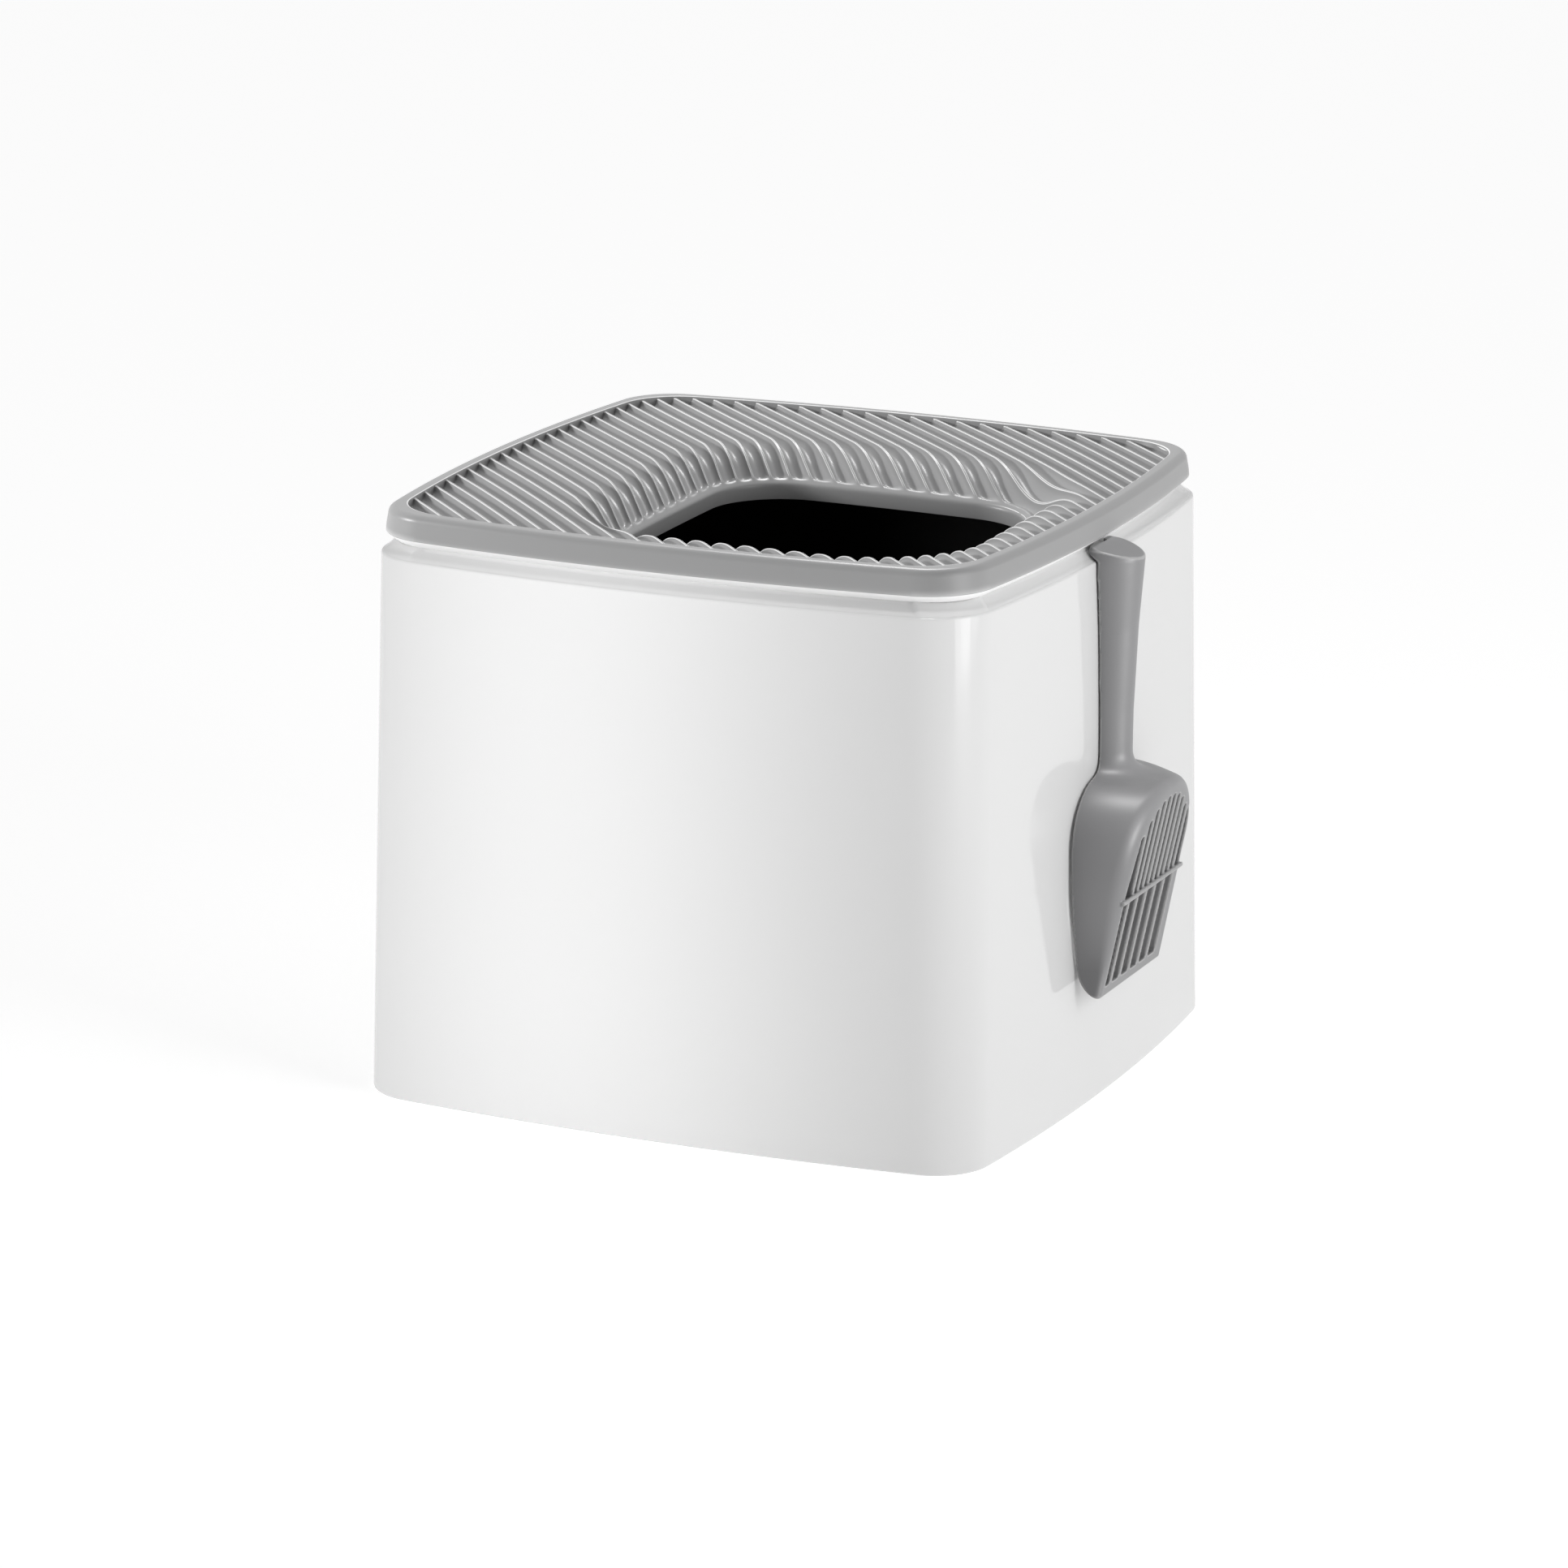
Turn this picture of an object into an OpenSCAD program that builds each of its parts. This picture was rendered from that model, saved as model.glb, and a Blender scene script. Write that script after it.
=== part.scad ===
// Top-entry cat litter box: an open tub, a ribbed lid with a funnel entry, and a hanging litter scoop.
// Units are millimetres. The origin is at the middle of the tub's resting face, +Z up, front = -Y.
// The scoop hangs on the +X wall.

/* [Tub] */
// Half the width of the tub at the floor, middle of one wall to the centre
tub_half = 219; // [190:0.5:260]
// Radius of the bow of each side wall at the floor
side_r = 1500; // [900:10:4000]
// Radius of the four upright corners at the floor
corner_r = 44; // [36:1:80]
// How far each wall leans inward from the floor to the rim
wall_lean = 4; // [0:0.5:10]
// Height of the outer rim edge
rim_z = 348; // [300:1:380]
// Thickness of the tub walls
wall_t = 3; // [2:0.25:5]
// Thickness of the tub floor
floor_t = 3.5; // [2:0.25:8]
// Bevel round the bottom edge
foot_bevel = 2; // [0.5:0.25:4]

/* [Neck] */
// How far the neck wall stands inside the floor outline at the corners
neck_in = 13; // [11:0.5:16]
// Extra depth of the recess above the shelf on each side
recess_in = 0.5; // [0.3:0.1:1]
// Half the length of each side's recess, as an angle about the side's bow centre
recess_angle = 6.5; // [4:0.1:7]
// Height of the crease between the sloping shelf and the neck, above the rim
shelf_rise = 5; // [2:0.5:7]
// Height of the neck above the rim edge
neck_h = 18; // [14:0.5:20]

/* [Lid] */
// Height of the lid's lower edge above the tub rim edge
lid_gap = 8; // [6.5:0.5:10]
// Height of the lid rim, lower edge to top
lid_h = 20.6; // [18:0.2:26]
// How far the widest line of the lid stands inside the floor outline
lid_in = 6.3; // [5:0.1:9]
// Width of the flat band on top of the lid rim
band_w = 4.4; // [3:0.2:8]
// Thickness of the lid's skin
skin_t = 2.4; // [1.6:0.2:4]
// Running clearance between the lid and the neck
lid_clear = 0.4; // [0.2:0.1:0.8]

/* [Ribs] */
// Number of diagonal ribs across the lid, odd so that one crosses the middle
rib_count = 43; // [31:2:51]
// Distance between neighbouring ribs
rib_pitch = 11.56; // [9:0.01:14]
// Width of one rib
rib_w = 3.2; // [1.6:0.1:5]
// Depth of the channels between the ribs
rib_depth = 4.5; // [3:0.1:6]
// Height of the domed rib envelope over the middle of the box
dome_top = 379; // [377:0.1:384]
// Radius of the dome that the rib tops follow
dome_r = 6400; // [4000:100:20000]

/* [Entry] */
// Offset of the entry's centre to the right of the box's centre
entry_x = 41.5; // [0:0.5:50]
// Offset of the entry's centre in front of the box's centre
entry_front = 43; // [0:0.5:50]
// Half width of the entry opening
entry_half = 107; // [90:0.5:110]
// Corner radius of the entry opening
entry_r = 50; // [30:1:70]
// Radius of the bend from the lid's top into the funnel
bend_r = 34; // [24:1:38]
// Slope of the funnel below the bend
funnel_angle = 41; // [30:1:50]
// Width of the funnel in plan
funnel_w = 38; // [32:0.5:40]
// Height of the upright collar under the funnel
collar_h = 10.7; // [6:0.1:16]
// Plain lip left between the rib ends and the opening
lip_w = 5; // [3:0.5:10]

/* [Scoop] */
// Offset of the scoop's middle behind the middle of the right wall
scoop_y = -6; // [-20:1:20]
// Gap between the scoop and the tub wall
scoop_gap = 0.8; // [0.4:0.1:2]
// Height of the scoop's digging edge above the floor
scoop_tip_z = 77; // [40:1:100]
// Half width of the slotted panel
panel_half = 52; // [44:0.5:58]
// Half width of the bowl at its open side
bowl_half = 61; // [56:0.5:66]
// Height of the slotted panel above the digging edge
panel_h = 124; // [100:1:140]
// Depth of the bowl at the digging edge
tip_depth = 15; // [10:0.5:20]
// Outward slope of the panel, degrees from upright
panel_lean = 12.5; // [6:0.5:16]
// Thickness of the scoop's walls
scoop_t = 2.6; // [2:0.1:4]
// Half width of the handle where it meets the bowl
grip_half = 16; // [12:0.5:20]
// Depth of the handle where it meets the bowl
grip_depth = 15; // [12:0.5:20]
// Half width of the handle at its top
head_half = 21; // [16:0.5:26]
// Depth of the handle at its top
head_depth = 21.5; // [16:0.5:26]
// Width of the bars between the slots
bar_w = 3.8; // [2:0.1:5]
// Thickness of the raised bar across the panel
cross_d = 3.2; // [2:0.1:5]

/* [Hidden] */
$fn = 96;

// Rounded-square outline with bowed sides. The corner circles stand a little proud of true tangency.
side_k = side_r - tub_half;
arc_gap = side_r - corner_r;
tangent_c = (sqrt(2 * arc_gap * arc_gap - side_k * side_k) - side_k) / 2;
corner_c = ceil(tangent_c * 10) / 10 + 0.3;
reach = 2 * tub_half + 12;
side_angle = 14;

// Heights
crease_z = rim_z + shelf_rise;
neck_z = rim_z + neck_h;
lid_z = rim_z + lid_gap;
lid_top = lid_z + lid_h;
flute_z = lid_top - 1.6 - rib_depth;
rim_edge = 1.5;
overlap = 1;

// Offsets from the floor outline, negative inward
neck_off = -neck_in;
neck_inner = -neck_in - wall_t;
rim_off = -wall_lean - rim_edge;
lid_seat_off = neck_off + lid_clear;
bullnose_r = 5.3;
face_lean = 1.5;
band_out = -lid_in - face_lean - bullnose_r;
band_in = band_out - band_w;

// Funnel section, measured outward from the opening
bend_top = flute_z + rib_depth;
bend_z = bend_top - bend_r;
bend_steps = 6;
slope_out = funnel_w - bend_r * sin(funnel_angle);
slope_z = bend_z + bend_r * cos(funnel_angle);
lip_z = slope_z - slope_out * tan(funnel_angle);
entry_c = entry_half - entry_r;

// Scoop
wall_x = tub_half - wall_lean * scoop_tip_z / rim_z + scoop_gap;
panel_x = wall_x + tip_depth;
panel_top_z = scoop_tip_z + panel_h;
panel_out = panel_h * tan(panel_lean);
bowl_top_z = panel_top_z + 16;
grip_z = panel_top_z + 25;
head_z = rim_z + 9;
neck_x = tub_half - neck_in - recess_in + 3.5;
slot_span = 2 * panel_half - 29;
slot_low = scoop_tip_z + 8;
cross_z = scoop_tip_z + 63;
arch_r = panel_half - 2;
bevel_angle = 50;
bevel_cut = 6;

// ---------------------------------------------------------------- outlines

// One bowed side: a solid bounded by the section's outer edge, swept about that side's bow centre
module bowed_side(turn, half_angle) {
    rotate(90 * turn)
        translate([-side_k, 0, 0])
            rotate_extrude(angle = 2 * half_angle, start = -half_angle)
                translate([side_r, 0])
                    children();
}

// Rounds the corners: everything inside the cross of the four corner centres, and a sector at each corner
module corner_cover() {
    tall = 500;
    wide = 2 * tub_half + 20;
    translate([-corner_c, -wide / 2, -10])
        cube([2 * corner_c, wide, tall]);
    translate([-wide / 2, -corner_c, -10])
        cube([wide, 2 * corner_c, tall]);
    for (i = [0:3])
        rotate(90 * i)
            translate([corner_c, corner_c, 0])
                rotate_extrude(angle = 90)
                    intersection() {
                        translate([corner_r, 0])
                            children();
                        square([2 * corner_r, tall]);
                    }
}

// Block whose walls follow the child section all round; x = 0 lies on the floor outline
module bowed_block() {
    intersection() {
        bowed_side(0, side_angle) children();
        bowed_side(1, side_angle) children();
        bowed_side(2, side_angle) children();
        bowed_side(3, side_angle) children();
        corner_cover() children();
    }
}

// Plain band of the block between two heights, its walls off outside the floor outline
module band_section(off, low, high) {
    translate([-reach, low])
        square([reach + off, high - low]);
}

// Rounded square about the entry's centre, off outside the opening
module entry_outline(off) {
    half = entry_half + off;
    translate([entry_x, -entry_front]) {
        square([2 * half, 2 * entry_c], center = true);
        square([2 * entry_c, 2 * half], center = true);
        for (sx = [-1, 1])
            for (sy = [-1, 1])
                translate([sx * entry_c, sy * entry_c])
                    circle(entry_r + off);
    }
}

// Sweeps a section round the entry; x = 0 lies on the edge of the opening
module sweep_entry() {
    translate([entry_x, -entry_front, 0])
        for (i = [0:3])
            rotate(90 * i) {
                translate([entry_half, entry_c, 0])
                    rotate([90, 0, 0])
                        linear_extrude(2 * entry_c)
                            children();
                translate([entry_c, entry_c, 0])
                    rotate_extrude(angle = 90)
                        translate([entry_r, 0])
                            children();
            }
}

// ---------------------------------------------------------------- tub

// Outside of the tub: bevelled foot, leaning wall, rim edge, shoulder and neck
module tub_outer_section() {
    polygon([
        [-reach, 0],
        [-foot_bevel, 0],
        [0, foot_bevel],
        [-wall_lean, rim_z - rim_edge],
        [rim_off + 0.4, rim_z - 0.4],
        [rim_off, rim_z],
        [neck_off, lid_z - lid_clear],
        [neck_off, neck_z],
        [-reach, neck_z]
    ]);
}

module tub_inner_section() {
    cove = 8;
    polygon([
        [-reach, floor_t],
        [-wall_t - cove, floor_t],
        [-wall_t, floor_t + cove],
        [-wall_lean - wall_t, rim_z - 6],
        [neck_inner, crease_z - 3],
        [neck_inner, neck_z + overlap],
        [-reach, neck_z + overlap]
    ]);
}

// What is cut away above the shelf on each side
module recess_section() {
    shelf_slope = shelf_rise / (neck_in - wall_lean - rim_edge);
    recess_off = neck_off - recess_in;
    polygon([
        [rim_off + overlap, rim_z - overlap * shelf_slope],
        [recess_off + overlap, crease_z],
        [recess_off, crease_z + 2],
        [recess_off, neck_z + overlap],
        [rim_off + overlap + 2, neck_z + overlap],
        [rim_off + overlap + 2, rim_z - overlap * shelf_slope]
    ]);
}

module tub() {
    color([0.93, 0.93, 0.93])
        difference() {
            bowed_block()
                tub_outer_section();
            bowed_block()
                tub_inner_section();
            for (i = [0:3])
                bowed_side(i, recess_angle)
                    recess_section();
        }
}

// ---------------------------------------------------------------- lid

// Outside of the lid's rim: bevelled underside, leaning face and rounded top
module lid_outer_section() {
    bull_z = lid_top - bullnose_r;
    polygon(concat(
        [[-reach, lid_z], [lid_seat_off + 0.6, lid_z], [-lid_in, lid_z + 4.5], [-lid_in, lid_z + 6]],
        [for (a = [0:15:90]) [band_out + bullnose_r * cos(a), bull_z + bullnose_r * sin(a)]],
        [[-reach, lid_top]]
    ));
}

// Space under the lid for the tub's neck
module lid_pocket_section() {
    polygon([
        [-reach, lid_z - overlap],
        [lid_seat_off, lid_z - overlap],
        [lid_seat_off, neck_z + lid_clear],
        [neck_inner - 2, neck_z + lid_clear],
        [neck_inner - 2, flute_z - skin_t],
        [-reach, flute_z - skin_t]
    ]);
}

// Rib-top surface of the funnel, sunk by depth square to that surface, down to the given height
function funnel_line(depth) = concat(
    [[0, lip_z - depth / cos(funnel_angle)]],
    [for (i = [0:bend_steps])
        let (a = funnel_angle * (1 - i / bend_steps), r = bend_r - depth)
        [funnel_w - r * sin(a), bend_z + r * cos(a)]]
);

function reversed(list) = [for (i = [len(list) - 1:-1:0]) list[i]];

// Slice of the funnel wall between two depths below the rib tops
module funnel_slice(top_depth, low_depth) {
    polygon(concat(funnel_line(top_depth), reversed(funnel_line(low_depth))));
}

// Diagonal walls that the ribs are cut from
module rib_slabs(low, high) {
    middle = (rib_count - 1) / 2;
    rotate(45)
        for (i = [0:rib_count - 1])
            translate([(i - middle) * rib_pitch - rib_w / 2, -1.5 * tub_half, low])
                cube([rib_w, 3 * tub_half, high - low]);
}

// Everything below the shallow dome of the rib tops
module dome() {
    rotate_extrude()
        polygon(concat(
            [[0, flute_z - 20]],
            [for (r = [0:60:300]) [r, dome_top - r * r / (2 * dome_r)]],
            [[300, flute_z - 20]]
        ));
}

module flat_ribs() {
    intersection() {
        rib_slabs(flute_z - overlap, dome_top + overlap);
        difference() {
            bowed_block()
                band_section(band_in + 0.5, flute_z - overlap, dome_top + overlap);
            translate([0, 0, flute_z - 5])
                linear_extrude(20)
                    entry_outline(funnel_w);
        }
        dome();
    }
}

module funnel_ribs() {
    intersection() {
        rib_slabs(lip_z - 10, dome_top + overlap);
        sweep_entry()
            intersection() {
                funnel_slice(0, rib_depth + skin_t / 2);
                translate([lip_w / 2, lip_z - 20])
                    square([funnel_w, 60]);
            }
        dome();
    }
}

// Plain lip round the opening and the upright collar below it
module lip_section() {
    intersection() {
        funnel_slice(0, rib_depth + skin_t);
        translate([0, lip_z - 20])
            square([lip_w, 60]);
    }
    translate([0, lip_z - collar_h])
        square([skin_t, collar_h]);
}

module lid() {
    color([0.62, 0.62, 0.63]) {
        difference() {
            bowed_block()
                lid_outer_section();
            bowed_block()
                lid_pocket_section();
            bowed_block()
                band_section(band_in, flute_z, lid_top + overlap);
            translate([0, 0, lid_z])
                linear_extrude(lid_h)
                    entry_outline(funnel_w - 0.5);
        }
        sweep_entry() {
            funnel_slice(rib_depth, rib_depth + skin_t);
            lip_section();
        }
        flat_ribs();
        funnel_ribs();
    }
}

// ---------------------------------------------------------------- scoop

// Side view of the bowl, x outward and y up, with the walls moved in by t
module bowl_profile(t) {
    back = t > 0 ? wall_x - 5 : wall_x;
    polygon([
        [back, scoop_tip_z + 20],
        [wall_x + 4, scoop_tip_z + 9 - 2 * t],
        [wall_x + 10, scoop_tip_z + 3 - 2 * t],
        [panel_x - t, scoop_tip_z - 2 * t],
        [panel_x + panel_out - t, panel_top_z],
        [panel_x + panel_out - 3 - t, panel_top_z + 8 - t],
        [panel_x + panel_out - 12, bowl_top_z - t],
        [back, bowl_top_z + 3 - t]
    ]);
}

// Front view of the bowl: straight foot, widening sides and an arched top
module bowl_outline(half, t) {
    round_r = 40;
    arch_z = bowl_top_z + 5 - round_r;
    polygon(concat(
        [[panel_half - t, scoop_tip_z - 10], [half - t, arch_z - 10]],
        [for (a = [0:10:90]) [half - round_r + (round_r - t) * cos(a), arch_z + (round_r - t) * sin(a)]],
        [for (a = [90:10:180]) [round_r - half + (round_r - t) * cos(a), arch_z + (round_r - t) * sin(a)]],
        [[t - half, arch_z - 10], [t - panel_half, scoop_tip_z - 10]]
    ));
}

// Extrudes a front view along X between two distances from the middle of the box
module along_x(x0, x1) {
    translate([x0, scoop_y, 0])
        rotate([90, 0, 90])
            linear_extrude(x1 - x0)
                children();
}

// Extrudes a side view across the scoop
module across_y(half) {
    translate([0, scoop_y + half, 0])
        rotate([90, 0, 0])
            linear_extrude(2 * half)
                children();
}

// The bowl as a block (t = 0), or the space inside it
module bowl_block(t) {
    intersection() {
        across_y(bowl_half + 4)
            bowl_profile(t);
        along_x(wall_x - 10, panel_x + panel_out + 5)
            bowl_outline(bowl_half, t);
    }
}

// Upright slot with round ends, r either side of y
module slot(y, low, high, r) {
    polygon(concat(
        [for (a = [0:30:180]) [y + r * cos(a), high - r + r * sin(a)]],
        [for (a = [180:30:360]) [y + r * cos(a), low + r + r * sin(a)]]
    ));
}

// Row of slots between two heights, the tops following the arch
module slot_row(count, low, high) {
    pitch = slot_span / (count - 1);
    r = (pitch - bar_w) / 2;
    for (i = [0:count - 1]) {
        y = i * pitch - slot_span / 2;
        arch = panel_top_z - arch_r + sqrt(arch_r * arch_r - y * y);
        slot(y, low, min(high, arch), r);
    }
}

// Side view of the handle, hooked over the tub's shelf
module handle_profile() {
    grip_out = wall_x + grip_depth;
    polygon([
        [wall_x, panel_top_z],
        [wall_x, rim_z + 1],
        [neck_x + 5, rim_z + 1.2],
        [neck_x, crease_z - 0.6],
        [neck_x, head_z - 0.5],
        [wall_x + head_depth - 2, head_z - 7],
        [wall_x + head_depth, head_z - 9],
        [grip_out, grip_z],
        [grip_out + 3, grip_z - 7],
        [grip_out + 10, grip_z - 12],
        [grip_out + 16, panel_top_z + 6]
    ]);
}

// Front view of the handle, widening into the bowl
module handle_outline() {
    flare = grip_half + 12;
    polygon([
        [-flare, panel_top_z - 4],
        [-flare, bowl_top_z - 2],
        [-grip_half - 4, bowl_top_z + 5],
        [-grip_half, grip_z + 6],
        [-head_half, head_z + 1],
        [head_half, head_z + 1],
        [grip_half, grip_z + 6],
        [grip_half + 4, bowl_top_z + 5],
        [flare, bowl_top_z - 2],
        [flare, panel_top_z - 4]
    ]);
}

// One of the slanting views that round the handle's outer corners, seen at the given angle
module handle_bevel(turn) {
    low_out = grip_half * cos(bevel_angle) + grip_depth * sin(bevel_angle) - bevel_cut;
    high_out = head_half * cos(bevel_angle) + head_depth * sin(bevel_angle) - bevel_cut;
    long = 4 * head_half;
    translate([wall_x, scoop_y, 0])
        rotate([0, 0, turn])
            translate([0, long / 2, 0])
                rotate([90, 0, 0])
                    linear_extrude(long)
                        polygon([
                            [-long, panel_top_z - 8],
                            [low_out + 30, panel_top_z - 8],
                            [low_out + 24, bowl_top_z + 1],
                            [low_out + 6, grip_z - 8],
                            [low_out, grip_z + 2],
                            [high_out, head_z + 2],
                            [-long, head_z + 2]
                        ]);
}

module handle() {
    intersection() {
        across_y(bowl_half)
            handle_profile();
        along_x(neck_x - 2, panel_x + panel_out)
            handle_outline();
        handle_bevel(90 - bevel_angle);
        handle_bevel(bevel_angle - 90);
    }
}

module scoop() {
    cross_x = panel_x + (cross_z - scoop_tip_z) * tan(panel_lean);
    hole_d = 4;
    color([0.42, 0.42, 0.43])
        difference() {
            union() {
                bowl_block(0);
                handle();
                translate([cross_x, scoop_y + panel_half, cross_z])
                    rotate([90, 0, 0])
                        cylinder(h = 2 * panel_half, d = cross_d);
            }
            bowl_block(scoop_t);
            along_x(cross_x - 12, panel_x + panel_out + 5)
                slot_row(10, cross_z + 3, panel_top_z);
            along_x(panel_x - scoop_t - 2, cross_x + 5)
                slot_row(6, slot_low, cross_z - 3);
            translate([neck_x + 4.3, scoop_y + 3, head_z - 14])
                cylinder(h = 30, d = hole_d);
        }
}

// ---------------------------------------------------------------- assembly

tub();
lid();
scoop();
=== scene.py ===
import math

import bpy
import numpy as np
from mathutils import Matrix, Vector


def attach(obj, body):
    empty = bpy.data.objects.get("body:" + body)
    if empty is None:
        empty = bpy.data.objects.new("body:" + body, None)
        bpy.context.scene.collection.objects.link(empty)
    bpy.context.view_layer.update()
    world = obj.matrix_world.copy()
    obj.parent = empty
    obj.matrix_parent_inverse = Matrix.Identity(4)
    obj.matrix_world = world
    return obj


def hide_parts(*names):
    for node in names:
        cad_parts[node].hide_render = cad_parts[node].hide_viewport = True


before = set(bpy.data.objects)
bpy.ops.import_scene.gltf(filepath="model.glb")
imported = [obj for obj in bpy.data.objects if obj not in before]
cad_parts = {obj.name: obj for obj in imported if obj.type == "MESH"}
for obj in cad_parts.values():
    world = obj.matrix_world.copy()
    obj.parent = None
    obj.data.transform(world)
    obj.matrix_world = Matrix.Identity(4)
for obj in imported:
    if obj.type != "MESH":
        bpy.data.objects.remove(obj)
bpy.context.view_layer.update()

MM = 0.001

# ------------------------------------------------------------------ dimensions (millimetres)

RIM_Z = 348.0          # outer rim edge of the tub
NECK_Z = 366.0         # top of the neck that the lid sits on
LID_Z = 355.6          # lower edge of the lid
LID_TOP = 376.5        # flat band round the lid
CREST_Z = 375.0        # rib tops at the lid's rim
DOME_RISE = 4.2        # how much higher the rib tops are at the middle
DOME_HALF = 201.0      # the dome meets the band this far from the middle
RIB_COUNT = 43
RIB_PITCH = 11.56
RIB_DEPTH = 6.0
CREST_HALF = 0.55      # half width of a rib's flat top
CHANNEL_END = 1.6      # the channels stop this far from the entry
CHANNEL_FADE = 7.0     # and reach full depth over this length
ENTRY = (41.5, -43.0)  # middle of the entry
ENTRY_HALF = 107.0
ENTRY_R = 50.0         # corner radius of the entry
BEND_R = 34.0          # radius of the bend from the dome into the funnel
FUNNEL_W = 38.0        # width of the funnel seen from above
FUNNEL_ANGLE = math.radians(41.0)
COLLAR_H = 10.7        # height of the upright collar round the entry
SKIN = 2.4             # thickness of the lid under its channels
REACH = 420.0          # half length of a line along the ribs, past the corners

# plan outlines: half width at the middle, bow radius, corner radius
BASE_OUT = (218.9, 1750.0, 38.0)    # foot of the tub
RIM_OUT = (215.4, 1350.0, 45.0)     # rim of the tub
LID_OUT = (212.7, 1330.0, 43.0)     # outside of the lid's rim
INNER_OUT = (201.4, 1275.0, 42.0)   # where the lid's flat band ends and the ribs begin
NECK_OUT = (205.5, 1300.0, 42.0)
SHELF_END = 171.0                   # the shelf runs this far each way from the middle of a side
WALL_T = 3.0                        # thickness of the tub's wall


# ------------------------------------------------------------------ plan outlines

def arc_centres(shape):
    """Bow radius and its centre's distance k, corner radius and centre c, and the angle where they join."""
    a, big, r = shape
    k = big - a
    c = (math.sqrt(2 * (big - r) ** 2 - k * k) - k) / 2
    return big, k, r, c, math.atan2(c, c + k)


def outline(shape, off=0.0, side_n=30, corner_n=28):
    """Points and outward normals of a rounded square with bowed sides, moved outward by off."""
    big, k, r, c, phi = arc_centres(shape)
    pts, nrm = [], []
    for q in range(4):
        turn = q * math.pi / 2
        ct, st = math.cos(turn), math.sin(turn)
        for i in range(side_n):
            t = -phi + 2 * phi * i / side_n
            n = (math.cos(t), math.sin(t))
            p = (-k + (big + off) * n[0], (big + off) * n[1])
            pts.append((p[0] * ct - p[1] * st, p[0] * st + p[1] * ct))
            nrm.append((n[0] * ct - n[1] * st, n[0] * st + n[1] * ct))
        for i in range(corner_n):
            t = phi + (math.pi / 2 - 2 * phi) * i / corner_n
            n = (math.cos(t), math.sin(t))
            p = (c + (r + off) * n[0], c + (r + off) * n[1])
            pts.append((p[0] * ct - p[1] * st, p[0] * st + p[1] * ct))
            nrm.append((n[0] * ct - n[1] * st, n[0] * st + n[1] * ct))
    return np.array(pts), np.array(nrm)


def outline_distance(shape, x, y):
    """Signed distance to the outline, negative inside."""
    big, k, r, c, phi = arc_centres(shape)
    ax, ay = np.abs(x), np.abs(y)
    hi, lo = np.maximum(ax, ay), np.minimum(ax, ay)
    side = np.hypot(hi + k, lo) - big
    corner = np.hypot(hi - c, lo - c) - r
    ang = np.arctan2(lo, hi + k)
    return np.where(ang > phi, corner, side)


def entry_distance(x, y):
    """Distance outside the entry's rounded square, negative inside."""
    qx = np.abs(x - ENTRY[0]) - (ENTRY_HALF - ENTRY_R)
    qy = np.abs(y - ENTRY[1]) - (ENTRY_HALF - ENTRY_R)
    return np.hypot(np.maximum(qx, 0), np.maximum(qy, 0)) + np.minimum(np.maximum(qx, qy), 0) - ENTRY_R


def funnel_drop(d):
    """How far the rib tops fall below the dome at distance d from the opening."""
    d = np.asarray(d, float)
    bend = FUNNEL_W - BEND_R * math.sin(FUNNEL_ANGLE)
    on_arc = BEND_R - np.sqrt(np.maximum(BEND_R ** 2 - np.clip(FUNNEL_W - d, 0, BEND_R) ** 2, 0))
    at_bend = BEND_R * (1 - math.cos(FUNNEL_ANGLE))
    line = at_bend + (bend - d) * math.tan(FUNNEL_ANGLE)
    return np.where(d >= FUNNEL_W, 0.0, np.where(d >= bend, on_arc, line))


def crest_height(x, y):
    """Height of the rib tops: a shallow dome that dives into the funnel."""
    dome = CREST_Z + DOME_RISE * (1 - (x / DOME_HALF) ** 2) * (1 - (y / DOME_HALF) ** 2)
    return dome - funnel_drop(entry_distance(x, y))


# ------------------------------------------------------------------ mesh building

def make(name, verts, faces, material, body, nodes, sharp):
    """A visible piece on its body, in place of the CAD nodes; edges above sharp degrees stay sharp."""
    mesh = bpy.data.meshes.new(name)
    mesh.from_pydata([tuple(v) for v in (np.asarray(verts) * MM)], [], faces)
    mesh.validate()
    mesh.update()
    obj = bpy.data.objects.new(name, mesh)
    bpy.context.scene.collection.objects.link(obj)
    mesh.materials.append(material)
    mesh.polygons.foreach_set("use_smooth", [True] * len(mesh.polygons))
    mesh.set_sharp_from_angle(angle=math.radians(sharp))
    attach(obj, body)
    if nodes:
        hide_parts(*nodes)
    return obj


def loft(rings, closed=True, cap_last=False):
    """Quads between successive rings, each an (n, 3) array; the rings run anticlockwise seen from above."""
    n = len(rings[0])
    verts = np.concatenate(rings)
    faces = []
    for k in range(len(rings) - 1):
        a, b = k * n, (k + 1) * n
        for i in range(n if closed else n - 1):
            j = (i + 1) % n
            faces.append((a + i, a + j, b + j, b + i))
    if cap_last:
        a = (len(rings) - 1) * n
        faces.append(tuple(range(a, a + n)))
    return verts, faces


def arc(cx, cz, r, a0, a1, n):
    """Points of an arc about (cx, cz), from angle a0 to a1 in degrees."""
    return [(cx + r * math.cos(math.radians(a0 + (a1 - a0) * i / n)),
             cz + r * math.sin(math.radians(a0 + (a1 - a0) * i / n))) for i in range(n + 1)]


# ------------------------------------------------------------------ materials

IOR = 1.49
MOTTLE_SCALE, MOTTLE_DETAIL = 9.0, 3.0
GRAIN_DETAIL, GRAIN_DEPTH = 2.0, 0.00015
PAINTED_HIGHLIGHT_FROM, PAINTED_HIGHLIGHT_TO = 0.511, 0.531   # pointiness over which the painted highlight fades in, from nearly flat to a rib's crest


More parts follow.
